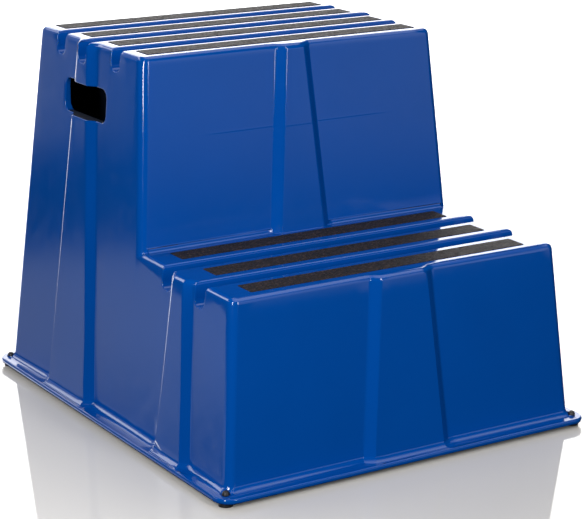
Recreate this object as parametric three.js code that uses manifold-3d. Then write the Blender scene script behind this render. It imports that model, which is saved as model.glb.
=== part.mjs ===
// Two-step mounting block for climbing onto a horse.
//
// One hollow moulding carries everything: an upper platform of four slats, a
// lower tread of three, drafted walls stiffened by a raised rib on each face,
// a hand hole in each side and a flange round the open underside. Seven grit
// strips lie on the slats and four push-in rubber feet stand under the flange.
//
// Frame: millimetres, +Z up, floor at z = 0, origin under the middle of the
// flange. The climber stands at -Y and walks towards +Y. The pieces are drawn
// from the top of the upper riser, y = 0, and the group then moves them.
import * as THREE from 'three';
import { mergeVertices } from 'three/addons/utils/BufferGeometryUtils.js';
import Module from 'manifold-3d';

const wasm = await Module();
wasm.setup();

// Heights of the two standing surfaces, on top of the strips.
const PLATFORM_Z = 500;
const TREAD_STRIP_Z = 250;

// Slats: how many, their pitch, and how far the outer strips' middles stand
// from the walls in front of and behind them.
const PLATFORM_SLATS = 4;
const PLATFORM_PITCH = 78.5;
const PLATFORM_FRONT_MARGIN = 31.9;
const PLATFORM_REAR_MARGIN = 28.8;
const TREAD_SLATS = 3;
const TREAD_PITCH = 84.95;
const TREAD_FRONT_MARGIN = 33.7;
const TREAD_REAR_MARGIN = 31.3;

// Width of the platform at its top, to the wall planes.
const PLATFORM_HALF_W = 226.4;

// Moulding. The drafts are wall slopes, in millimetres out per millimetre down.
const SIDE_DRAFT = 0.0823;
const END_DRAFT = 0.0895;
const WALL = 4;
const CORNER_R = 12;
const TOP_EDGE_R = 7;
const LEAST_INNER_R = 2;
const BLOCK_STEP = 0.06;
const RISER_COVE_R = 6;
const FOOT_COVE_R = 10;
const COVE_FACETS = 3;
const COVE_ROOT = 0.5;

// Flange round the foot of the walls: how far it reaches out at each face.
const LEDGE_SIDE = 17.1;
const LEDGE_FRONT = 18.8;
const LEDGE_REAR = 15.1;
const FLANGE_CORNER_R = 22;
const FLANGE_EDGE_R = 2.2;
const RIM_LOW_Z = 6;
const LEDGE_Z = 13;
const RIM_WALL = 3;

// Grooves between the slats.
const GROOVE_W = 22;
const GROOVE_DEPTH = 29;
const GROOVE_DRAFT = 0.05;
const GROOVE_FLOOR_R = 9;
const GROOVE_LIP_R = 4;

// Raised ribs. Each is a trapezoid that widens downwards, with sloping flanks.
const RIB_PROUD = 8.5;
const RIB_FLANK = 12;
const RIB_HALF_W = 13;
const RIB_SPREAD = 0.084;
const RIB_ROOT = 20;
const RIB_COVE_SPREAD = 1 / 3;

// Hand holes.
const GRIP_LENGTH = 117;
const GRIP_HEIGHT = 45;
const GRIP_DROP = 79.5;
const GRIP_CORNER_R = 12;
const GRIP_COLLAR_DEPTH = 8;

// Anti-slip strips.
const STRIP_END_MARGIN = 17.9;
const STRIP_WIDTH = 33;
const STRIP_THICK = 0.9;
const STRIP_CORNER_R = 1.5;
const BOND_GAP = 0.1;

// Push-in rubber feet.
const PAD_RIM_GAP_X = 2.6;
const PAD_RIM_GAP_Y = 5.2;
const PAD_R = 9.4;
const PAD_EDGE_R = 1.2;
const STEM_R = 3;
const STEM_CLEARANCE = 0.3;
const SEAT_CLEARANCE = 0.3;
const BARB_LIP = 1.8;
const BARB_TIP_R = 2.6;
const BARB_HEIGHT = 6;
const BARB_LIP_HEIGHT = 1.2;
const BARB_TIP_EDGE = 0.7;
const LANDING_CLEARANCE = 0.6;
const ROUND_SIDES = 24;

// Finishes.
const MOULDED_BLUE = { color: 0x0b449c, roughness: 0.16, metalness: 0 };
const GRIT_BLACK = { color: 0x2e2a28, roughness: 0.95, metalness: 0 };
const RUBBER_BLACK = { color: 0x1b1a1c, roughness: 0.6, metalness: 0 };

// Sizes that follow from the ones above.
const SLAT_Z = PLATFORM_Z - STRIP_THICK - BOND_GAP;
const TREAD_Z = TREAD_STRIP_Z - STRIP_THICK - BOND_GAP;
const PLATE_LOW_Z = LEDGE_Z - WALL;
const BELOW = -40;
const GRIP_MID_Z = SLAT_Z - GRIP_DROP;
const STRIP_LENGTH = 2 * (PLATFORM_HALF_W - STRIP_END_MARGIN);
const BARB_R = STEM_R + BARB_LIP;

// Walls, from front to rear.
const PLATFORM_FRONT_Y = 0;
const PLATFORM_REAR_Y = PLATFORM_FRONT_Y + PLATFORM_FRONT_MARGIN
  + (PLATFORM_SLATS - 1) * PLATFORM_PITCH + PLATFORM_REAR_MARGIN;
const PLATFORM_MID_Y = PLATFORM_FRONT_Y + PLATFORM_FRONT_MARGIN
  + (PLATFORM_SLATS - 1) * PLATFORM_PITCH / 2;
const sideX = (z) => PLATFORM_HALF_W + SIDE_DRAFT * (SLAT_Z - z);
const riserY = (z) => PLATFORM_FRONT_Y - END_DRAFT * (SLAT_Z - z);
const rearY = (z) => PLATFORM_REAR_Y + END_DRAFT * (SLAT_Z - z);
const TREAD_FRONT_Y = riserY(TREAD_Z) - TREAD_REAR_MARGIN
  - (TREAD_SLATS - 1) * TREAD_PITCH - TREAD_FRONT_MARGIN;
const frontY = (z) => TREAD_FRONT_Y - END_DRAFT * (TREAD_Z - z);

// Flange outline.
const FLANGE_HALF_W = sideX(LEDGE_Z) + LEDGE_SIDE;
const FLANGE_FRONT_Y = frontY(LEDGE_Z) - LEDGE_FRONT;
const FLANGE_REAR_Y = rearY(LEDGE_Z) + LEDGE_REAR;
const FLANGE_MID_Y = (FLANGE_FRONT_Y + FLANGE_REAR_Y) / 2;
const FLANGE_HALF_D = (FLANGE_REAR_Y - FLANGE_FRONT_Y) / 2;
const FOOT_X = FLANGE_HALF_W - RIM_WALL - PAD_RIM_GAP_X - PAD_R;
const FOOT_REACH_Y = FLANGE_HALF_D - RIM_WALL - PAD_RIM_GAP_Y - PAD_R;

// Middle of each slat's strip.
const platformSlats = Array.from({ length: PLATFORM_SLATS },
  (_, i) => PLATFORM_FRONT_Y + PLATFORM_FRONT_MARGIN + i * PLATFORM_PITCH);
const treadSlats = Array.from({ length: TREAD_SLATS },
  (_, i) => TREAD_FRONT_Y + TREAD_FRONT_MARGIN + i * TREAD_PITCH);
const TREAD_MID_SLAT_Y = treadSlats[Math.floor(TREAD_SLATS / 2)];

// ---- solids -------------------------------------------------------------

// A closed three.js geometry as a solid that can be joined and cut.
function solid(geometry) {
  const bare = geometry.index ? geometry.toNonIndexed() : geometry.clone();
  bare.deleteAttribute('normal');
  bare.deleteAttribute('uv');
  const welded = mergeVertices(bare, 1e-4);
  return new wasm.Manifold(new wasm.Mesh({
    numProp: 3,
    vertProperties: new Float32Array(welded.attributes.position.array),
    triVerts: new Uint32Array(welded.index.array),
  }));
}

function geometryOf(manifold) {
  const mesh = manifold.getMesh();
  const geometry = new THREE.BufferGeometry();
  geometry.setAttribute('position', new THREE.BufferAttribute(mesh.vertProperties, 3));
  geometry.setIndex(new THREE.BufferAttribute(mesh.triVerts, 1));
  return geometry;
}

const joined = (solids) => solids.reduce((sum, next) => sum.add(next));
const cut = (body, cutters) => cutters.reduce((left, next) => left.subtract(next), body);

// ---- outlines -----------------------------------------------------------

// Rectangle with round corners, centred on the origin.
function roundedRectangle(halfW, halfD, radius) {
  const quarter = Math.PI / 2;
  const shape = new THREE.Shape();
  shape.moveTo(halfW, -halfD + radius);
  shape.absarc(halfW - radius, halfD - radius, radius, 0, quarter);
  shape.absarc(-halfW + radius, halfD - radius, radius, quarter, 2 * quarter);
  shape.absarc(-halfW + radius, -halfD + radius, radius, 2 * quarter, 3 * quarter);
  shape.absarc(halfW - radius, -halfD + radius, radius, 3 * quarter, 4 * quarter);
  return shape;
}

// Upright extrusion from z = low to z = high, with both rims rounded.
function upright(shape, low, high, edgeRadius, segments = 3) {
  const rounded = edgeRadius > 0;
  const geometry = new THREE.ExtrudeGeometry(shape, {
    depth: high - low - 2 * edgeRadius,
    curveSegments: segments + 1,
    bevelEnabled: rounded,
    bevelThickness: edgeRadius,
    bevelSize: edgeRadius,
    bevelOffset: -edgeRadius,
    bevelSegments: segments,
  });
  geometry.translate(0, 0, low + edgeRadius);
  return geometry;
}

// Draft: every point moves away from the middle by its depth below the top.
function drafted(geometry, top, slopeX, slopeY) {
  const at = geometry.attributes.position;
  for (let i = 0; i < at.count; i += 1) {
    const drop = top - at.getZ(i);
    at.setX(i, at.getX(i) + Math.sign(at.getX(i)) * slopeX * drop);
    at.setY(i, at.getY(i) + Math.sign(at.getY(i)) * slopeY * drop);
  }
  return geometry;
}

// Extrusion across the block: shape x lies along Y, shape y along Z.
function crosswise(shape, fromX, toX, segments = 5) {
  const geometry = new THREE.ExtrudeGeometry(shape, {
    depth: toX - fromX,
    curveSegments: segments,
    bevelEnabled: false,
  });
  const turn = new THREE.Matrix4().makeBasis(
    new THREE.Vector3(0, 1, 0),
    new THREE.Vector3(0, 0, 1),
    new THREE.Vector3(1, 0, 0),
  );
  geometry.applyMatrix4(turn);
  geometry.translate(fromX, 0, 0);
  return geometry;
}

// ---- moulding -----------------------------------------------------------

// One drafted block. inset moves every wall and the top inwards, and a
// negative inset grows them.
function block(halfW, front, rear, top, inset) {
  const radius = Math.max(CORNER_R - inset, LEAST_INNER_R);
  const edge = Math.max(TOP_EDGE_R - inset, LEAST_INNER_R);
  const outline = roundedRectangle(halfW - inset, (rear - front) / 2 - inset, radius);
  const raw = upright(outline, BELOW, top - inset, edge, inset > 0 ? 2 : 3);
  const body = drafted(raw, top, SIDE_DRAFT, END_DRAFT);
  return body.translate(0, (front + rear) / 2, 0);
}

// Plan of a rib that points along -Y from a wall at y = 0.
function ribOutline(half, inset) {
  const rootHalf = half + (RIB_FLANK / RIB_PROUD) * (RIB_PROUD + RIB_ROOT);
  const shape = new THREE.Shape();
  shape.moveTo(-half, -RIB_PROUD + inset);
  shape.lineTo(half, -RIB_PROUD + inset);
  shape.lineTo(rootHalf, RIB_ROOT + inset);
  shape.lineTo(-rootHalf, RIB_ROOT + inset);
  shape.closePath();
  return shape;
}

// One raised rib, grown to each side by grow and moved inwards by inset.
function rib(top, inset, draft, grow = 0) {
  const lean = Math.tan(Math.atan2(RIB_PROUD, RIB_FLANK) / 2);
  const shape = ribOutline(RIB_HALF_W - lean * inset + grow, inset);
  const edge = Math.max(TOP_EDGE_R - inset, LEAST_INNER_R);
  const geometry = upright(shape, BELOW, top - inset, edge, inset > 0 ? 2 : 3);
  const at = geometry.attributes.position;
  for (let i = 0; i < at.count; i += 1) {
    const drop = top - at.getZ(i);
    at.setX(i, at.getX(i) + Math.sign(at.getX(i)) * RIB_SPREAD * drop);
    at.setY(i, at.getY(i) - draft * drop);
  }
  return geometry;
}

// The six ribs: front of both blocks, rear, and the sides of both blocks.
function ribs(inset) {
  const upperFront = rib(SLAT_Z, inset, END_DRAFT).translate(0, PLATFORM_FRONT_Y, 0);
  const lowerFront = lowerFrontRib(inset);
  const rear = rib(SLAT_Z, inset, END_DRAFT).rotateZ(Math.PI).translate(0, PLATFORM_REAR_Y, 0);
  const list = [upperFront, lowerFront, rear];
  for (const side of [-1, 1]) {
    const turn = side * Math.PI / 2;
    const upper = rib(SLAT_Z, inset, SIDE_DRAFT).rotateZ(turn);
    const lower = rib(TREAD_Z, inset, SIDE_DRAFT).rotateZ(turn);
    list.push(upper.translate(side * sideX(SLAT_Z), PLATFORM_MID_Y, 0));
    list.push(lower.translate(side * sideX(TREAD_Z), TREAD_MID_SLAT_Y, 0));
  }
  return list.map(solid);
}

// The lower front rib carries on the taper of the upper one.
function lowerFrontRib(inset) {
  const grown = RIB_SPREAD * (SLAT_Z - TREAD_Z);
  return rib(TREAD_Z, inset, END_DRAFT, grown).translate(0, TREAD_FRONT_Y, 0);
}

// Groove with a round floor and rounded lips. grow thickens it all round.
function groove(y, top, grow) {
  const lip = GROOVE_LIP_R - Math.min(grow, GROOVE_LIP_R - 0.5);
  const half = GROOVE_W / 2 + GROOVE_DRAFT * GROOVE_DEPTH + grow;
  const floor = -GROOVE_DEPTH - grow;
  const floorR = GROOVE_FLOOR_R + grow;
  const floorHalf = half + GROOVE_DRAFT * (floor + floorR);
  const shape = new THREE.Shape();
  shape.moveTo(-half - lip, TOP_EDGE_R);
  shape.lineTo(-half - lip, 0);
  shape.absarc(-half - lip, -lip, lip, Math.PI / 2, 0, true);
  shape.absarc(-floorHalf + floorR, floor + floorR, floorR, Math.PI, 1.5 * Math.PI);
  shape.absarc(floorHalf - floorR, floor + floorR, floorR, -Math.PI / 2, 0);
  shape.absarc(half + lip, -lip, lip, Math.PI, Math.PI / 2, true);
  shape.lineTo(half + lip, TOP_EDGE_R);
  shape.closePath();
  const reach = FLANGE_HALF_W;
  return solid(crosswise(shape, -reach, reach, grow > 0 ? 3 : 5).translate(0, y, top));
}

function grooves(grow) {
  const between = (slats) => slats.slice(1).map((y, i) => (y + slats[i]) / 2);
  return [
    ...between(platformSlats).map((y) => groove(y, SLAT_Z, grow)),
    ...between(treadSlats).map((y) => groove(y, TREAD_Z, grow)),
  ];
}

// The whole stepped form as one solid, moved inwards by inset.
function steppedForm(inset) {
  const lowerRear = PLATFORM_MID_Y;
  const upper = block(sideX(SLAT_Z), PLATFORM_FRONT_Y, PLATFORM_REAR_Y, SLAT_Z, inset);
  const lowerHalfW = sideX(TREAD_Z) - BLOCK_STEP;
  const lower = block(lowerHalfW, TREAD_FRONT_Y, lowerRear, TREAD_Z, inset);
  const form = joined([solid(upper), solid(lower), ...ribs(inset)]);
  return cut(form, grooves(inset));
}

// Concave fillet between the riser and the tread.
function riserCove() {
  const y = riserY(TREAD_Z);
  const r = RISER_COVE_R;
  const shape = new THREE.Shape();
  shape.moveTo(y + 1, TREAD_Z - 1);
  shape.lineTo(y - r, TREAD_Z - 1);
  shape.lineTo(y - r, TREAD_Z);
  shape.absarc(y - r, TREAD_Z + r, r, -Math.PI / 2, 0);
  shape.lineTo(y + 1, TREAD_Z + r);
  shape.closePath();
  const reach = sideX(TREAD_Z) - CORNER_R;
  return solid(crosswise(shape, -reach, reach));
}

// Concave fillet between the walls and the ledge, as rings of sloping facets.
function footCove() {
  const r = FOOT_COVE_R;
  const at = (i) => {
    const turn = (i / COVE_FACETS) * Math.PI / 2;
    return { out: r * (1 - Math.cos(turn)) - COVE_ROOT, z: LEDGE_Z + r * (1 - Math.sin(turn)) };
  };
  const rings = [];
  for (let i = 0; i < COVE_FACETS; i += 1) {
    const high = at(i);
    const low = at(i + 1);
    const slope = (low.out - high.out) / (high.z - low.z);
    const lift = i > 0 ? COVE_ROOT : 0;
    rings.push(coveRing({ out: high.out - lift * slope, z: high.z + lift }, slope));
  }
  const rim = FLANGE_EDGE_R + COVE_ROOT;
  const limit = upright(flangeOutline(rim), RIM_LOW_Z, LEDGE_Z + 2 * r, 0);
  return joined(rings.flat()).intersect(solid(limit.translate(0, FLANGE_MID_Y, 0)));
}

function coveRing(high, slope) {
  const low = LEDGE_Z - COVE_ROOT;
  const foot = LEDGE_Z + FOOT_COVE_R;
  const halfW = sideX(foot) + high.out;
  const front = frontY(foot) - high.out;
  const rear = rearY(foot) + high.out;
  const outline = roundedRectangle(halfW, (rear - front) / 2, CORNER_R + high.out);
  const wall = drafted(upright(outline, low, high.z, 0), high.z, slope, slope);
  wall.translate(0, (front + rear) / 2, 0);
  const bumps = [
    coveBump(high, slope, SLAT_Z).translate(0, front, 0),
    coveBump(high, slope, SLAT_Z).rotateZ(Math.PI).translate(0, rear, 0),
  ];
  for (const side of [-1, 1]) {
    const turn = side * Math.PI / 2;
    const upper = coveBump(high, slope, SLAT_Z).rotateZ(turn);
    const lower = coveBump(high, slope, TREAD_Z).rotateZ(turn);
    bumps.push(upper.translate(side * halfW, PLATFORM_MID_Y, 0));
    bumps.push(lower.translate(side * halfW, TREAD_MID_SLAT_Y, 0));
  }
  return [solid(wall), ...bumps.map(solid)];
}

// The part of a cove ring that runs round the foot of one rib.
function coveBump(high, slope, ribTop) {
  const half = RIB_HALF_W + RIB_SPREAD * (ribTop - high.z) + RIB_COVE_SPREAD * high.out;
  const geometry = upright(ribOutline(half, 0), LEDGE_Z - COVE_ROOT, high.z, 0);
  const at = geometry.attributes.position;
  for (let i = 0; i < at.count; i += 1) {
    const drop = high.z - at.getZ(i);
    at.setX(i, at.getX(i) + Math.sign(at.getX(i)) * RIB_COVE_SPREAD * slope * drop);
    at.setY(i, at.getY(i) - slope * drop);
  }
  return geometry;
}

function flangeOutline(inset) {
  return roundedRectangle(FLANGE_HALF_W - inset, FLANGE_HALF_D - inset, FLANGE_CORNER_R - inset);
}

function flange() {
  const plate = upright(flangeOutline(0), RIM_LOW_Z, LEDGE_Z, FLANGE_EDGE_R, 2);
  return solid(plate.translate(0, FLANGE_MID_Y, 0));
}

// Everything under the flange plate and inside its rim.
function flangeRecess() {
  const recess = upright(flangeOutline(RIM_WALL), BELOW - WALL, PLATE_LOW_Z, 0);
  return solid(recess.translate(0, FLANGE_MID_Y, 0));
}

// Everything lower than the inside of the flange plate.
function underPlate() {
  const slab = upright(flangeOutline(-FLANGE_CORNER_R), 2 * BELOW, PLATE_LOW_Z + COVE_ROOT, 0);
  return solid(slab.translate(0, FLANGE_MID_Y, 0));
}

function gripOutline(grow) {
  return roundedRectangle(GRIP_LENGTH / 2 + grow, GRIP_HEIGHT / 2 + grow, GRIP_CORNER_R + grow);
}

// Turned-in collar behind a hand hole, before the hole is cut.
function gripCollar(side) {
  const inner = sideX(GRIP_MID_Z) - GRIP_COLLAR_DEPTH;
  const outer = FLANGE_HALF_W;
  const from = side > 0 ? inner : -outer;
  const to = side > 0 ? outer : -inner;
  return solid(crosswise(gripOutline(WALL), from, to).translate(0, PLATFORM_MID_Y, GRIP_MID_Z));
}

function gripHoles() {
  const reach = FLANGE_HALF_W + WALL;
  const geometry = crosswise(gripOutline(0), -reach, reach);
  return solid(geometry.translate(0, PLATFORM_MID_Y, GRIP_MID_Z));
}

const footPlaces = [
  ['foot_front_left', -FOOT_X, FLANGE_MID_Y - FOOT_REACH_Y],
  ['foot_front_right', FOOT_X, FLANGE_MID_Y - FOOT_REACH_Y],
  ['foot_rear_left', -FOOT_X, FLANGE_MID_Y + FOOT_REACH_Y],
  ['foot_rear_right', FOOT_X, FLANGE_MID_Y + FOOT_REACH_Y],
];

// Hole for a foot's stem, and the flat landing that its barb needs above.
function footHoles() {
  const holeR = STEM_R + STEM_CLEARANCE;
  const landingR = BARB_R + LANDING_CLEARANCE;
  const list = [];
  for (const [, x, y] of footPlaces) {
    const hole = new THREE.CylinderGeometry(holeR, holeR, 2 * BARB_HEIGHT + 2 * LEDGE_Z, ROUND_SIDES);
    list.push(solid(hole.rotateX(Math.PI / 2).translate(x, y, 0)));
    const landing = new THREE.CylinderGeometry(landingR, landingR, 2 * FOOT_COVE_R, ROUND_SIDES);
    landing.rotateX(Math.PI / 2).translate(x, y, LEDGE_Z + FOOT_COVE_R);
    list.push(solid(landing));
  }
  return list;
}

function shellGeometry() {
  const outer = steppedForm(0).subtract(underPlate());
  const midWall = steppedForm(WALL / 2);
  const collars = [-1, 1].map((side) => gripCollar(side).intersect(midWall));
  const skin = joined([outer, riserCove(), footCove(), flange()]);
  const hollow = cut(skin, [steppedForm(WALL), flangeRecess()]);
  return geometryOf(cut(joined([hollow, ...collars]), [gripHoles(), ...footHoles()]));
}

// ---- strips and feet ----------------------------------------------------

function stripGeometry() {
  const outline = roundedRectangle(STRIP_LENGTH / 2, STRIP_WIDTH / 2, STRIP_CORNER_R);
  return new THREE.ExtrudeGeometry(outline, {
    depth: STRIP_THICK,
    curveSegments: 2,
    bevelEnabled: false,
  });
}

// One foot, turned about its own axis: pad, stem and barb in one piece.
function footGeometry() {
  const padTop = PLATE_LOW_Z - SEAT_CLEARANCE;
  const barbLow = LEDGE_Z + SEAT_CLEARANCE;
  const barbTop = LEDGE_Z + BARB_HEIGHT;
  const profile = [
    [0, 0],
    [PAD_R - PAD_EDGE_R, 0],
    [PAD_R, PAD_EDGE_R],
    [PAD_R, padTop - PAD_EDGE_R],
    [PAD_R - PAD_EDGE_R, padTop],
    [STEM_R, padTop],
    [STEM_R, barbLow],
    [BARB_R, barbLow],
    [BARB_R, barbLow + BARB_LIP_HEIGHT],
    [BARB_TIP_R + BARB_TIP_EDGE, barbTop - BARB_TIP_EDGE],
    [BARB_TIP_R, barbTop],
    [0, barbTop],
  ];
  const points = profile.map(([r, z]) => new THREE.Vector2(r, z));
  return new THREE.LatheGeometry(points, ROUND_SIDES).rotateX(Math.PI / 2);
}

// ---- assembly -----------------------------------------------------------

function place(group, name, geometry, finish, x, y, z) {
  const mesh = new THREE.Mesh(geometry, new THREE.MeshStandardMaterial(finish));
  mesh.name = name;
  mesh.position.set(x, y, z);
  group.add(mesh);
}

const mountingBlock = new THREE.Group();
mountingBlock.position.y = -FLANGE_MID_Y;
place(mountingBlock, 'shell', shellGeometry(), MOULDED_BLUE, 0, 0, 0);
platformSlats.forEach((y, i) => {
  place(mountingBlock, `platform_strip_${i + 1}`, stripGeometry(), GRIT_BLACK, 0, y, SLAT_Z + BOND_GAP);
});
treadSlats.forEach((y, i) => {
  place(mountingBlock, `tread_strip_${i + 1}`, stripGeometry(), GRIT_BLACK, 0, y, TREAD_Z + BOND_GAP);
});
footPlaces.forEach(([name, x, y]) => {
  place(mountingBlock, name, footGeometry(), RUBBER_BLACK, x, y, 0);
});

export default mountingBlock;
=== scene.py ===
# %% [markdown]
# # A two-step mounting block
#
# The real object is one large injection moulding in glossy blue polypropylene, hollow underneath, with
# seven strips of black anti-slip tape on its slats and four small rubber feet pushed into its flange.
# This lesson takes the engineering model as a fixed frame and builds the visible surfaces round it:
# camera, studio, shell, tape and feet, in that order.

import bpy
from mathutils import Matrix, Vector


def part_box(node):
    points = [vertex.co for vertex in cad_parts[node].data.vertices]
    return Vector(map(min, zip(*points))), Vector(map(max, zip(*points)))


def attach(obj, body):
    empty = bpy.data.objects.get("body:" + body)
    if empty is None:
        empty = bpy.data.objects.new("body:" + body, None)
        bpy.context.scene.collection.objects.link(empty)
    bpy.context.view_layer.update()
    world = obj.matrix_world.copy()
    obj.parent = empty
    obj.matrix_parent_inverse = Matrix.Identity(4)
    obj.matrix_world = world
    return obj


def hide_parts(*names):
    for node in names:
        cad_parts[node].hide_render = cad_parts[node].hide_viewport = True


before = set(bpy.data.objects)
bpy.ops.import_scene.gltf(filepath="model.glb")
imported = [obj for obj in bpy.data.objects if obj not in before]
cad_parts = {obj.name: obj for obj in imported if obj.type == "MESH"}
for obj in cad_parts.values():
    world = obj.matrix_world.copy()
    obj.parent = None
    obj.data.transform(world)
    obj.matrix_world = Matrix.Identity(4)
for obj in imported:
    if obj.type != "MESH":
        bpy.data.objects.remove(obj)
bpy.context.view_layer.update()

import math

import bmesh
import bpy
from mathutils import Matrix, Vector, noise
from mathutils.bvhtree import BVHTree

scene = bpy.context.scene
MM = 0.001
UP = Vector((0, 0, 1))
TOLERANCE = 1e-7
print("nodes in the frame:", len(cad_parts))

# %% [markdown]
# ## Camera
#
# A block like this is shown from its front left corner, a little above its top step, with a long lens so
# that the verticals stay nearly parallel. The camera is placed by its azimuth and elevation, and a small
# roll is added about the line of sight.

# %% Set up the camera
CAMERA_PLACE = Vector((-1.42224, -2.28674, 0.96088))
CAMERA_AZIMUTH = math.radians(-32.188)
CAMERA_ELEVATION = math.radians(15.894)
CAMERA_ROLL = math.radians(0.261)
CAMERA_LENS = 126.21
CAMERA_SIGHT = 50

backward = Vector((
    math.sin(CAMERA_AZIMUTH) * math.cos(CAMERA_ELEVATION),
    -math.cos(CAMERA_AZIMUTH) * math.cos(CAMERA_ELEVATION),
    math.sin(CAMERA_ELEVATION),
))
level_right = (-backward).cross(UP).normalized()
level_up = backward.cross(level_right)
turn = Matrix.Rotation(CAMERA_ROLL, 3, backward)
axes = Matrix((turn @ level_right, turn @ level_up, backward)).transposed()

camera_data = bpy.data.cameras.new("camera")
camera_data.lens = CAMERA_LENS
camera_data.clip_end = CAMERA_SIGHT
camera = bpy.data.objects.new("camera", camera_data)
camera.matrix_world = Matrix.Translation(CAMERA_PLACE) @ axes.to_4x4()
scene.collection.objects.link(camera)
scene.camera = camera
print("camera stands", round(CAMERA_PLACE.length, 2), "m from the middle of the block")

# %% [markdown]
# ## Helpers for nodes and colours
#
# Every finish below is a small tree of nodes. One function adds a node, sets its properties and fills its
# sockets, either with a value or with a link; the others are the few nodes that come back again and
# again. Colours are written as sRGB hex values, as a paint maker would give them, and turned to the
# linear values that a renderer works with.

# %% Add a node, turn a colour
def add_node(tree, kind, settings=None, inputs=None):
    made = tree.nodes.new(kind)
    for name, value in (settings or {}).items():
        setattr(made, name, value)
    for name, value in (inputs or {}).items():
        if isinstance(value, bpy.types.NodeSocket):
            tree.links.new(value, made.inputs[name])
        else:
            made.inputs[name].default_value = value
    return made


def linear(hex_colour):
    channels = [int(hex_colour[i:i + 2], 16) / 255 for i in (1, 3, 5)]
    return [c / 12.92 if c <= 0.04045 else ((c + 0.055) / 1.055) ** 2.4 for c in channels] + [1.0]


def remap(tree, value, span, low, high, settings=None):
    return add_node(
        tree, "ShaderNodeMapRange", settings,
        {"Value": value, "From Min": span[0], "From Max": span[1], "To Min": low, "To Max": high},
    ).outputs["Result"]


def two_tone(tree, factor, first, second):
    return add_node(
        tree, "ShaderNodeMix", {"data_type": "RGBA"},
        {0: factor, 6: linear(first), 7: linear(second)},
    ).outputs[2]


def cloud(tree, place, size, **more):
    return add_node(
        tree, "ShaderNodeTexNoise", None, {"Vector": place, "Scale": 1 / size, **more}
    ).outputs["Fac"]


def bump(tree, height, strength, distance, settings=None):
    return add_node(
        tree, "ShaderNodeBump", settings,
        {"Height": height, "Strength": strength, "Distance": distance},
    ).outputs["Normal"]


def new_material(name):
    made = bpy.data.materials.new(name)
    made.use_nodes = True
    tree = made.node_tree
    place = add_node(tree, "ShaderNodeTexCoord").outputs["Object"]
    return made, tree, tree.nodes["Principled BSDF"], place


def feed(tree, surface, colour, matt, relief):
    tree.links.new(colour, surface.inputs["Base Color"])
    tree.links.new(matt, surface.inputs["Roughness"])
    tree.links.new(relief, surface.inputs["Normal"])


# %% [markdown]
# ## The studio
#
# Glossy plastic shows the room as much as itself, so the world carries the whole room, as a glow for each
# direction. A strongly lit white background stands behind the block and goes on to the rear left, high
# up. A pale wall with a dark curtain across it stands to the left, which draws the soft patches on the
# side of the block. In front on the right, above a dark floor, is a pale horizon that veils the upper
# riser and leaves the lower one deep blue. A lit ceiling closes the room. Whoever looks straight at the
# room sees plain white.

# %% Light the room
scene.view_settings.view_transform = "Standard"

LEFT_REAR = Vector((-0.5, 0.866, -0.1)).normalized()
FRONT_RIGHT = Vector((0.53, -0.848, 0.05)).normalized()
OVERHEAD = Vector((0.3, 0.1, 1.0)).normalized()
LEFT_REAR_RIM = (0.6, 0.8)
FRONT_RIGHT_RIM = (0.9, 0.97)
OVERHEAD_RIM = (0.86, 0.96)

BACKGROUND_GLOW = 4.2
OVERHEAD_GLOW = 1.8
WALL_GLOW = 0.5
WALL_FOOT_GLOW = 0.06
HORIZON_GLOW = 0.42
DARK_GLOW = 0.004
PLAIN_WHITE = 1.0

CURTAIN_FOOT = (-0.209, -0.192)
CURTAIN_HEAD = (-0.162, -0.138)
CURTAIN_SIDE = (-0.478, -0.468)
CURTAIN_THIN = 0.05
WALL_FADE = (-0.305, -0.235)
HORIZON_LINE = (-0.115, -0.05)
HORIZON_SIDE, HORIZON_DIM, HORIZON_BRIGHT = (0.46, 0.6), 0.9, 1.4
HORIZON_CLIMB, HORIZON_GAIN = (0.0, 0.2), 2.0
BACKDROP_REAR = (0.3, 0.55)
BACKDROP_LEFT, BACKDROP_LEFT_LEAN = (-0.28, -0.19), -0.6
BACKDROP_RIGHT = (0.72, 0.85)
BACKDROP_HEAD, BACKDROP_HEAD_LEAN = (0.89, 1.04), 0.8
BACKDROP_FOOT = (-0.45, -0.32)
REAR_LEFT_FOOT = (0.43, 0.47)
REAR_LEFT_HEAD = (0.6, 0.64)
REAR_LEFT_SIDE = (-0.1, -0.05)

world = bpy.data.worlds.new("studio")
world.use_nodes = True
scene.world = world
sky = world.node_tree
sky.nodes.clear()
direction = add_node(sky, "ShaderNodeTexCoord").outputs["Generated"]
parts = add_node(sky, "ShaderNodeSeparateXYZ", None, {"Vector": direction}).outputs
across, behind, height = parts["X"], parts["Y"], parts["Z"]


def ramp(value, span, low=0.0, high=1.0):
    return remap(sky, value, span, low, high, {"interpolation_type": "SMOOTHSTEP"})


def towards(way, rim):
    facing = add_node(
        sky, "ShaderNodeVectorMath", {"operation": "DOT_PRODUCT"}, {0: direction, 1: way}
    )
    return ramp(facing.outputs["Value"], rim)


def blend(factor, start, end):
    return add_node(
        sky, "ShaderNodeMix", {"data_type": "FLOAT"}, {0: factor, 2: start, 3: end}
    ).outputs[0]


def reckon(operation, *values):
    return add_node(
        sky, "ShaderNodeMath", {"operation": operation}, dict(enumerate(values))
    ).outputs["Value"]


def product(first, *others):
    for other in others:
        first = reckon("MULTIPLY", first, other)
    return first


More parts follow.
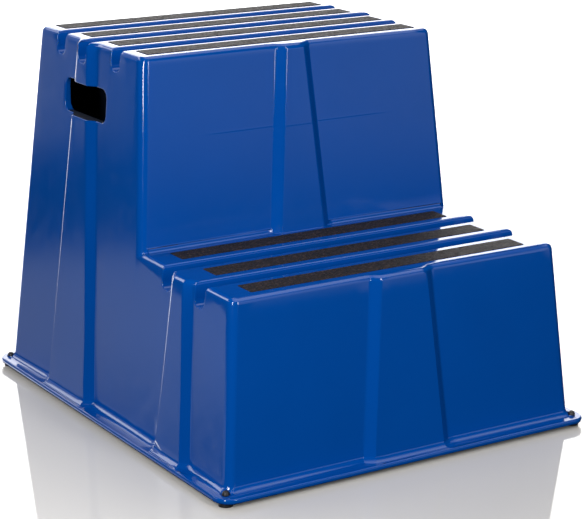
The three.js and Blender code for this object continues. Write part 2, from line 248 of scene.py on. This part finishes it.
curtain = product(
    ramp(height, CURTAIN_FOOT),
    blend(ramp(height, CURTAIN_HEAD), 1.0, ramp(across, CURTAIN_SIDE, 1.0, CURTAIN_THIN)),
)
left_wall = blend(curtain, ramp(height, WALL_FADE, WALL_FOOT_GLOW, WALL_GLOW), DARK_GLOW)
horizon = product(
    ramp(height, HORIZON_LINE, DARK_GLOW, HORIZON_GLOW),
    ramp(across, HORIZON_SIDE, HORIZON_DIM, HORIZON_BRIGHT),
    ramp(height, HORIZON_CLIMB, 1.0, HORIZON_GAIN),
)
backdrop = product(
    ramp(behind, BACKDROP_REAR),
    ramp(reckon("MULTIPLY_ADD", height, BACKDROP_LEFT_LEAN, across), BACKDROP_LEFT),
    ramp(across, BACKDROP_RIGHT, 1.0, 0.0),
    ramp(reckon("MULTIPLY_ADD", across, BACKDROP_HEAD_LEAN, height), BACKDROP_HEAD, 1.0, 0.0),
    ramp(height, BACKDROP_FOOT),
)
rear_left = product(
    ramp(behind, BACKDROP_REAR),
    ramp(height, REAR_LEFT_FOOT),
    ramp(height, REAR_LEFT_HEAD, 1.0, 0.0),
    ramp(across, REAR_LEFT_SIDE, 1.0, 0.0),
)

room = blend(towards(LEFT_REAR, LEFT_REAR_RIM), DARK_GLOW, left_wall)
room = blend(towards(FRONT_RIGHT, FRONT_RIGHT_RIM), room, horizon)
room = blend(towards(OVERHEAD, OVERHEAD_RIM), room, OVERHEAD_GLOW)
room = blend(rear_left, room, BACKGROUND_GLOW)
room = blend(backdrop, room, BACKGROUND_GLOW)
looked_at = add_node(sky, "ShaderNodeLightPath").outputs["Is Camera Ray"]
shine = add_node(
    sky, "ShaderNodeBackground", None,
    {"Color": linear("#ffffff"), "Strength": blend(looked_at, room, PLAIN_WHITE)},
)
add_node(sky, "ShaderNodeOutputWorld", None, {"Surface": shine.outputs["Background"]})
print("background glows", BACKGROUND_GLOW, "overhead", OVERHEAD_GLOW)

# %% [markdown]
# Two tall, narrow softboxes stand near the viewer, one to the left of the line of sight and one to its
# right. Each draws one thin upright light line on every rounded corner, which is why the corners show
# their highlights in pairs.

# %% Stand the two softboxes
SOFTBOX_DISTANCE = 2.5
SOFTBOX_WIDTH = 0.26
SOFTBOX_HEIGHT = 2.0
SOFTBOX_MIDDLE = 1.48
SOFTBOXES = (
    ("softbox_left", -53.0, 68.0),
    ("softbox_right", 5.0, 26.0),
)


def softbox(name, azimuth, power):
    lamp = bpy.data.lights.new(name, "AREA")
    lamp.shape = "RECTANGLE"
    lamp.size = SOFTBOX_WIDTH
    lamp.size_y = SOFTBOX_HEIGHT
    lamp.energy = power
    stand = bpy.data.objects.new(name, lamp)
    a = math.radians(azimuth)
    place = Vector((
        math.sin(a) * SOFTBOX_DISTANCE, -math.cos(a) * SOFTBOX_DISTANCE, SOFTBOX_MIDDLE,
    ))
    aim = Vector((0, 0, SOFTBOX_MIDDLE)) - place
    facing = aim.to_track_quat("-Z", "Y").to_matrix().to_4x4()
    stand.matrix_world = Matrix.Translation(place) @ facing
    stand.visible_camera = False
    scene.collection.objects.link(stand)


for box_of_light in SOFTBOXES:
    softbox(*box_of_light)
print("softboxes:", len(SOFTBOXES))

# %% [markdown]
# The floor is polished white acrylic: a white body under a clear, very smooth surface. Seen at a low
# angle it mirrors the bright background, and under the block it mirrors the block instead, which gives
# the grey image at its foot. The block doesn't see the floor: the lower half of the room's glow stands
# in for it.

# %% Lay the floor
FLOOR_HALF = 14.0
PLASTIC_IOR = 1.49
CLOUD_SIZE = 0.4
SMEAR = (0.03, 0.06)
WHOLE_SPAN = (0.0, 1.0)


def stand_up(name, bm, *materials):
    mesh = bpy.data.meshes.new(name)
    bm.to_mesh(mesh)
    bm.free()
    for material in materials:
        mesh.materials.append(material)
    made = bpy.data.objects.new(name, mesh)
    scene.collection.objects.link(made)
    return made


acrylic, tree, surface, place = new_material("polished_white_acrylic")
smear = remap(tree, cloud(tree, place, CLOUD_SIZE, Detail=2.0), WHOLE_SPAN, *SMEAR)
surface.inputs["Base Color"].default_value = linear("#dbd8d3")
surface.inputs["IOR"].default_value = PLASTIC_IOR
tree.links.new(smear, surface.inputs["Roughness"])

floor_bm = bmesh.new()
bmesh.ops.create_grid(floor_bm, x_segments=1, y_segments=1, size=FLOOR_HALF)
floor = stand_up("floor", floor_bm, acrylic)
floor.visible_glossy = False
floor.visible_diffuse = False
print("floor is", 2 * FLOOR_HALF, "m across")

# %% [markdown]
# ## The finishes
#
# The shell is injection-moulded polypropylene in a deep blue, coloured all through. It came out of a
# polished steel tool, so it is glossy, with the very slight unevenness that thick polypropylene shows
# where it has cooled: the colour drifts a little over a hand's breadth, the gloss varies over a finger's
# width, and a faint orange peel a few millimetres across breaks up the reflections.

# %% Blue polypropylene
DRIFT_SIZE = 130 * MM
GLOSS_SIZE = 22 * MM
GLOSS_SPAN = (0.3, 0.7)
GLOSS = (0.07, 0.12)
PEEL_SIZE = 3.5 * MM
PEEL_HEIGHT = 0.006 * MM

blue_plastic, tree, surface, place = new_material("injection_moulded_polypropylene_blue")
drift = cloud(tree, place, DRIFT_SIZE, Detail=3.0, Roughness=0.55)
gloss = cloud(tree, place, GLOSS_SIZE, Detail=4.0, Roughness=0.6)
peel = cloud(tree, place, PEEL_SIZE, Detail=2.0)
feed(
    tree, surface,
    colour=two_tone(tree, drift, "#014596", "#014aa0"),
    matt=remap(tree, gloss, GLOSS_SPAN, *GLOSS),
    relief=bump(tree, peel, 1.0, PEEL_HEIGHT),
)
surface.inputs["IOR"].default_value = PLASTIC_IOR

# %% [markdown]
# The hollow side of the moulding was shaped by the core of the tool, which is only machined, not
# polished. It is the same plastic with a dull skin, and no light reaches it but what comes in through
# the hand holes, so its colour here is a much darker blue: painted shade, not the plastic's own colour.

# %% The core side of the plastic
MARK_SIZE = 1.2 * MM
MARK_DEPTH = 0.03 * MM
MARK_STRENGTH = 0.4
CORE_MATT = (0.55, 0.75)

core_plastic_painted_shade, tree, surface, place = new_material("machined_core_side_polypropylene_painted_shade")
marks = cloud(tree, place, MARK_SIZE, Detail=2.0)
feed(
    tree, surface,
    # Painted shade: both blues are far darker than the plastic and stand in for the shade in the hollow.
    colour=two_tone(tree, marks, "#010f26", "#01152f"),
    matt=remap(tree, marks, WHOLE_SPAN, *CORE_MATT),
    relief=bump(tree, marks, MARK_STRENGTH, MARK_DEPTH),
)

# %% [markdown]
# Anti-slip tape is a film coated with crushed mineral set in black resin. Most grains are drowned in the
# resin and look black; a few stand clear and catch the light as grey sparks. The grit is really about
# half a millimetre, which is finer than the picture can show, so the grains are drawn three times as
# large.

# %% Mineral grit
GRAIN_SIZE = 1.6 * MM
GRAIN_DEPTH = 0.35 * MM
GRAIN_STRENGTH = 0.8
SPARK_SPAN = (0.55, 1.0)
GRAIN_MATT = (0.6, 0.95)
GRAIN_SHINE = 0.35

grit, tree, surface, place = new_material("mineral_grit_anti_slip_tape")
grains = add_node(
    tree, "ShaderNodeTexVoronoi", None, {"Vector": place, "Scale": 1 / GRAIN_SIZE}
).outputs
pick = add_node(tree, "ShaderNodeSeparateColor", None, {"Color": grains["Color"]}).outputs
spark = remap(tree, pick["Red"], SPARK_SPAN, 0.0, 1.0, {"interpolation_type": "SMOOTHSTEP"})
feed(
    tree, surface,
    colour=two_tone(tree, spark, "#0d0908", "#42332e"),
    matt=remap(tree, pick["Green"], WHOLE_SPAN, *GRAIN_MATT),
    relief=bump(tree, grains["Distance"], GRAIN_STRENGTH, GRAIN_DEPTH, {"invert": True}),
)
surface.inputs["Specular IOR Level"].default_value = GRAIN_SHINE

# %% [markdown]
# The feet are moulded black rubber: nearly black, softly shiny, with a faint bloom that greys it in
# patches and a fine matt texture from the mould.

# %% Black rubber
BLOOM_SIZE = 6 * MM
SKIN_SIZE = 0.8 * MM
SKIN_DEPTH = 0.05 * MM
SKIN_STRENGTH = 0.5
RUBBER_MATT = (0.35, 0.6)

rubber, tree, surface, place = new_material("moulded_black_rubber")
bloom = cloud(tree, place, BLOOM_SIZE, Detail=3.0)
feed(
    tree, surface,
    colour=two_tone(tree, bloom, "#131214", "#2b2a2e"),
    matt=remap(tree, bloom, WHOLE_SPAN, *RUBBER_MATT),
    relief=bump(tree, cloud(tree, place, SKIN_SIZE), SKIN_STRENGTH, SKIN_DEPTH),
)
print("finishes:", [m.name for m in bpy.data.materials])

# %% [markdown]
# ## The shell
#
# The shell is one moulding: two stacked blocks with drafted walls, ribs, cross grooves, hand holes and a
# turned-down flange. Its true form is in the frame already, as flat facets. It could be modelled afresh,
# but every fit hangs on it, so a copy is taken, its loose triangles are merged into one skin, and the
# skin is refined: flat triangles join into whole faces, the sharp rims are rounded as a mould maker
# breaks every edge, and the tall walls are drawn in slightly, as such walls shrink between their corners.

# %% Merge a copy of the shell
MERGE_DISTANCE = 0.002 * MM
FLAT_ANGLE = math.radians(0.03)

shell_bm = bmesh.new()
shell_bm.from_mesh(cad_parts["shell"].data)
loose = len(shell_bm.verts)
bmesh.ops.remove_doubles(shell_bm, verts=shell_bm.verts, dist=MERGE_DISTANCE)
merged = len(shell_bm.verts)
bmesh.ops.dissolve_limit(
    shell_bm, angle_limit=FLAT_ANGLE, use_dissolve_boundaries=False,
    verts=shell_bm.verts, edges=shell_bm.edges, delimit=set(),
)
print("vertices loose, merged, dissolved:", loose, merged, len(shell_bm.verts))
print("open edges:", sum(not e.is_manifold for e in shell_bm.edges))

# %% [markdown]
# Where an edge is still sharp, a bevel rounds it. The upright edges of the ribs turn by a shallow angle
# and are soft, while the rims of the hand holes, the grooves and the flange are only just broken, so the
# edges are taken in two lots by how far they turn. The facets of a round turn less than either.

# %% Round the edges
SOFT_ANGLE = math.radians(31)
RIM_ANGLE = math.radians(60)
SOFT_R = 2.4 * MM
SOFT_STEPS = 4
RIM_R = 1.2 * MM
RIM_STEPS = 2
UPRIGHT_LENGTH = 30 * MM
UPRIGHT_SHARE = 0.8


def edges_turning(bm, least, most):
    return [e for e in bm.edges if e.is_manifold and least < e.calc_face_angle() < most]


def upright(edge):
    run = edge.verts[1].co - edge.verts[0].co
    return run.length > UPRIGHT_LENGTH and abs(run.z) > UPRIGHT_SHARE * run.length


def round_edges(bm, chosen, width, steps, clamp=False):
    bmesh.ops.bevel(
        bm, geom=chosen, offset=width, offset_type="OFFSET", affect="EDGES",
        segments=steps, profile=0.5, material=-1, clamp_overlap=clamp,
    )


soft_edges = [e for e in edges_turning(shell_bm, SOFT_ANGLE, RIM_ANGLE) if upright(e)]
print("soft edges:", len(soft_edges))
round_edges(shell_bm, soft_edges, SOFT_R, SOFT_STEPS)
rims = edges_turning(shell_bm, RIM_ANGLE, math.pi)
print("rim edges:", len(rims))
round_edges(shell_bm, rims, RIM_R, RIM_STEPS)

# %% [markdown]
# Before the walls can bend they need enough points to bend at, so the whole skin is sliced by planes
# across all three directions.

# %% Slice the skin
SLICE = 24 * MM


def slice_skin(bm, axis, low, high):
    normal = Vector([float(i == axis) for i in range(3)])
    for i in range(1, math.ceil((high - low) / SLICE)):
        bmesh.ops.bisect_plane(
            bm, geom=bm.verts[:] + bm.edges[:] + bm.faces[:], dist=TOLERANCE,
            plane_co=normal * (low + i * SLICE), plane_no=normal,
        )


shell_low, shell_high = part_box("shell")
for axis in range(3):
    slice_skin(shell_bm, axis, shell_low[axis], shell_high[axis])
print("faces after slicing:", len(shell_bm.faces))

# %% [markdown]
# Across the middle of the upper riser runs a faint witness line, where two flows of plastic met as the
# mould filled. It stands hardly a tenth of a millimetre proud, but a glossy wall shows it. Three close
# cuts make its two flanks, and the middle one is lifted.

# %% Raise the witness line
WITNESS_Z = 392 * MM
WITNESS_HALF_W = 0.6 * MM
WITNESS_HALF_LENGTH = 128 * MM
WITNESS_PROUD = 0.1 * MM
RISER_FRONT = -60 * MM
RISER_REAR = -25 * MM
FORWARD_SHARE = -0.5


def riser_skin(bm):
    faces = []
    for f in bm.faces:
        centre = f.calc_center_median()
        if (f.normal.y < FORWARD_SHARE and abs(centre.z - WITNESS_Z) < SLICE
                and RISER_FRONT < centre.y < RISER_REAR):
            faces.append(f)
    return list({part for f in faces for part in (*f.verts, *f.edges, f)})


for step in (-1, 1, 0):
    cut = bmesh.ops.bisect_plane(
        shell_bm, geom=riser_skin(shell_bm), dist=TOLERANCE,
        plane_co=(0, 0, WITNESS_Z + step * WITNESS_HALF_W), plane_no=UP,
    )["geom_cut"]
crest = [v for v in cut if isinstance(v, bmesh.types.BMVert) and abs(v.co.x) < WITNESS_HALF_LENGTH]
bmesh.ops.translate(shell_bm, vec=(0, -WITNESS_PROUD, 0), verts=crest)
print("witness line points:", len(crest))

# %% [markdown]
# The pull of the walls is written as a field: how far in each point moves, greatest half way between two
# corners and near the foot, nothing at the corners and nothing at the rim of the flange.

# %% Draw the walls in
PLATFORM_TOP = 0.499
TREAD_TOP = 0.249
SIDE_AT_TOP = 0.2264
SIDE_SLOPE = 0.0823
END_SLOPE = 0.0895
RISER_AT_TOP = -0.0288
REAR_AT_TOP = 0.2674
FRONT_AT_TREAD = -0.28608
SIDE_PULL_TOP = 1.3 * MM
SIDE_PULL_FOOT = 5.2 * MM
END_PULL = 1.8 * MM
REACH = 25 * MM
RIM_FADE = 15 * MM
TREAD_FADE = 40 * MM

flange_reach = shell_high.x - SIDE_AT_TOP - SIDE_SLOPE * PLATFORM_TOP


def side_at(z):
    return SIDE_AT_TOP + SIDE_SLOPE * (PLATFORM_TOP - z)


def nearness(distance):
    return math.exp(-((distance / REACH) ** 2))


def unit(value):
    return min(max(value, 0), 1)


def pull(point):
    x, y, z = point
    drop = PLATFORM_TOP - z
    side = side_at(z)
    rear = REAR_AT_TOP + END_SLOPE * drop
    riser = RISER_AT_TOP - END_SLOPE * drop
    front = FRONT_AT_TREAD - END_SLOPE * (TREAD_TOP - z)
    along = math.sin(math.pi * unit((y - front) / (rear - front)))
    midway = math.cos(math.pi / 2 * min(abs(x) / side, 1))
    depth = SIDE_PULL_TOP + (SIDE_PULL_FOOT - SIDE_PULL_TOP) * drop / PLATFORM_TOP
    inwards = depth * along * nearness(abs(x) - side) * unit((shell_high.x - abs(x)) / flange_reach)
    at_riser = nearness(y - riser) * unit((z - TREAD_TOP) / TREAD_FADE + 1)
    at_ends = nearness(y - front) + at_riser - nearness(y - rear)
    backwards = END_PULL * midway * at_ends * unit((shell_high.y - abs(y)) / RIM_FADE)
    return Vector((-math.copysign(inwards, x), backwards, 0))


for v in shell_bm.verts:
    v.co += pull(v.co)
print("deepest pull:", round(max(pull(v.co).length for v in shell_bm.verts) / MM, 2), "mm")

# %% [markdown]
# The skin is one closed surface, so its hollow side is told apart by light: a face that sees no sky,
# neither straight up nor leaning outwards, belongs to the core side and takes its dark, painted shade.
# The walls of the hand holes see no sky either, but they were polished with the outside, so they stay
# with it, all but the flat floor of each hole, which is given the same dark colour as painted shade.

# %% Tell the core side from the outside
JAMB_DEPTH = 9.5 * MM
HOLE_REACH = (0.055, 0.187)
HOLE_HEIGHT = (0.39, 0.45)
SHADED_HOLE_FLOOR_SHARE = 0.97
LIFT = 0.4 * MM
FACE_SHARE = 0.5
LEANS = (0.0, 0.7)

skin_tree = BVHTree.FromBMesh(shell_bm)


def in_hand_hole(point):
    return (HOLE_REACH[0] < point.y < HOLE_REACH[1] and HOLE_HEIGHT[0] < point.z < HOLE_HEIGHT[1]
            and abs(point.x) > side_at(point.z) - JAMB_DEPTH)


def gets_painted_core_shade(face):
    centre = face.calc_center_median()
    normal = face.normal
    if in_hand_hole(centre):
        # The upward floor of a hand hole is given the dark core colour as painted shade.
        return normal.z > SHADED_HOLE_FLOOR_SHARE
    outwards = Vector((centre.x, centre.y, 0)).normalized()
    for lean in LEANS:
        way = (normal * FACE_SHARE + UP + outwards * lean).normalized()
        if skin_tree.ray_cast(centre + normal * LIFT + way * LIFT, way)[0] is None:
            return False
    return True


# Faces that see no sky, and the hole floors, take the second finish, whose darkness is painted shade.
for face in shell_bm.faces:
    face.material_index = int(gets_painted_core_shade(face))
print("core side faces:", sum(f.material_index for f in shell_bm.faces))

# %% Finish the shell
SMOOTH_ANGLE = math.radians(38)


def smooth(piece):
    piece.data.shade_smooth()
    piece.data.set_sharp_from_angle(angle=SMOOTH_ANGLE)


shell = stand_up("blue_shell", shell_bm, blue_plastic, core_plastic_painted_shade)
smooth(shell)
even = shell.modifiers.new("even_normals", "WEIGHTED_NORMAL")
even.keep_sharp = True
even.mode = "FACE_AREA_WITH_ANGLE"
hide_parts("shell")
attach(shell, "root")
print("shell faces:", len(shell.data.polygons))

# %% [markdown]
# ## The grit strips
#
# Each slat carries one strip of tape, cut with slightly clipped corners. The tape is a grid fine enough
# to carry the grains as real bumps: every grain is a rounded hill with its own height, and the edge of
# the film dips a little where the cutter pressed it.

# %% Make a strip of tape
STRIP_STEP = 1.0 * MM
CORNER_CUT = 1.3 * MM
GRAIN_HEIGHT = 0.45 * MM
GRAIN_PITCH = 2.2 * MM
LOWEST_GRAIN = 0.6
GRAIN_VARIETY = 0.4


def clip_corners(bm, size):
    for sx in (-1, 1):
        for sy in (-1, 1):
            bmesh.ops.bisect_plane(
                bm, geom=bm.verts[:] + bm.edges[:] + bm.faces[:],
                dist=TOLERANCE, clear_outer=True,
                plane_co=(sx * size.x / 2, sy * (size.y / 2 - CORNER_CUT), 0), plane_no=(sx, sy, 0),
            )


def grain_hill(point):
    place = Vector((point.x, point.y, 0)) / GRAIN_PITCH
    near, _ = noise.voronoi(place)
    return max(0.0, 1 - near[0]) * (LOWEST_GRAIN + GRAIN_VARIETY * abs(noise.cell(place)))


def grit_strip(name, node):
    low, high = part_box(node)
    middle, size = (low + high) / 2, high - low
    bm = bmesh.new()
    bmesh.ops.create_grid(
        bm, x_segments=round(size.x / STRIP_STEP), y_segments=round(size.y / STRIP_STEP), size=0.5
    )
    bmesh.ops.scale(bm, vec=(size.x, size.y, 1), verts=bm.verts)
    clip_corners(bm, size)
    bmesh.ops.translate(bm, vec=(middle.x, middle.y, high.z), verts=bm.verts)
    rim = {v for e in bm.edges if e.is_boundary for v in e.verts}
    for v in bm.verts:
        v.co.z -= GRAIN_HEIGHT * (1.0 if v in rim else 1 - grain_hill(v.co))
    outline = [e for e in bm.edges if e.is_boundary]
    walls = bmesh.ops.extrude_edge_only(bm, edges=outline)["geom"]
    for v in walls:
        if isinstance(v, bmesh.types.BMVert):
            v.co.z = low.z
    foot = [e for e in walls if isinstance(e, bmesh.types.BMEdge)]
    bmesh.ops.holes_fill(bm, edges=foot, sides=0)
    bmesh.ops.recalc_face_normals(bm, faces=bm.faces)
    piece = stand_up(name, bm, grit)
    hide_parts(node)
    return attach(piece, "root")


strip_nodes = sorted(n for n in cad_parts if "strip" in n)
strips = [grit_strip("grit_" + n, n) for n in strip_nodes]
print("strips:", len(strips), "with", len(strips[0].data.polygons), "faces each")

# %% [markdown]
# ## The feet
#
# A foot is a round rubber pad with a barbed stem, pulled up through a hole in the flange until the barb
# snaps out above it. It is turned on an axis, so its outline is drawn once, in millimetres, spun into a
# solid, and its rings are rounded.

# %% Spin a foot
PAD_R = 9.4
PAD_TOP = 8.7
STEM_R = 3.0
BARB_FOOT = 13.3
BARB_R = 4.8
BARB_LIP_TOP = 14.5
BARB_SHOULDER = 17.2
BARB_SHOULDER_R = 4.0
BARB_TIP_R = 2.2
BARB_TIP = 19.0
FOOT_OUTLINE = (
    (0, 0), (PAD_R, 0), (PAD_R, PAD_TOP), (STEM_R, PAD_TOP), (STEM_R, BARB_FOOT), (BARB_R, BARB_FOOT),
    (BARB_R, BARB_LIP_TOP), (BARB_SHOULDER_R, BARB_SHOULDER), (BARB_TIP_R, BARB_TIP), (0, BARB_TIP),
)
FOOT_STEPS = 48
RING_ANGLE = math.radians(12)
RING_LEAST_R = 0.01 * MM
RING_R = 0.7 * MM
RING_STEPS = 3


def is_ring(edge):
    a, b = (v.co for v in edge.verts)
    return abs(a.z - b.z) < TOLERANCE and min(a.xy.length, b.xy.length) > RING_LEAST_R


def rubber_foot(name, node):
    low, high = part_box(node)
    middle = (low + high) / 2
    bm = bmesh.new()
    line = [bm.verts.new((r * MM, 0, z * MM)) for r, z in FOOT_OUTLINE]
    edges = [bm.edges.new(pair) for pair in zip(line, line[1:])]
    bmesh.ops.spin(
        bm, geom=line + edges, cent=(0, 0, 0), axis=UP, dvec=(0, 0, 0),
        angle=2 * math.pi, steps=FOOT_STEPS, use_merge=True,
    )
    bmesh.ops.remove_doubles(bm, verts=bm.verts, dist=MERGE_DISTANCE)
    bmesh.ops.recalc_face_normals(bm, faces=bm.faces)
    rings = [e for e in edges_turning(bm, RING_ANGLE, math.pi) if is_ring(e)]
    round_edges(bm, rings, RING_R, RING_STEPS, clamp=True)
    bmesh.ops.translate(bm, vec=(middle.x, middle.y, low.z), verts=bm.verts)
    piece = stand_up(name, bm, rubber)
    smooth(piece)
    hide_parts(node)
    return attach(piece, "root")


feet = [rubber_foot("rubber_" + n, n) for n in sorted(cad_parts) if n.startswith("foot")]
print("feet:", [f.name for f in feet])
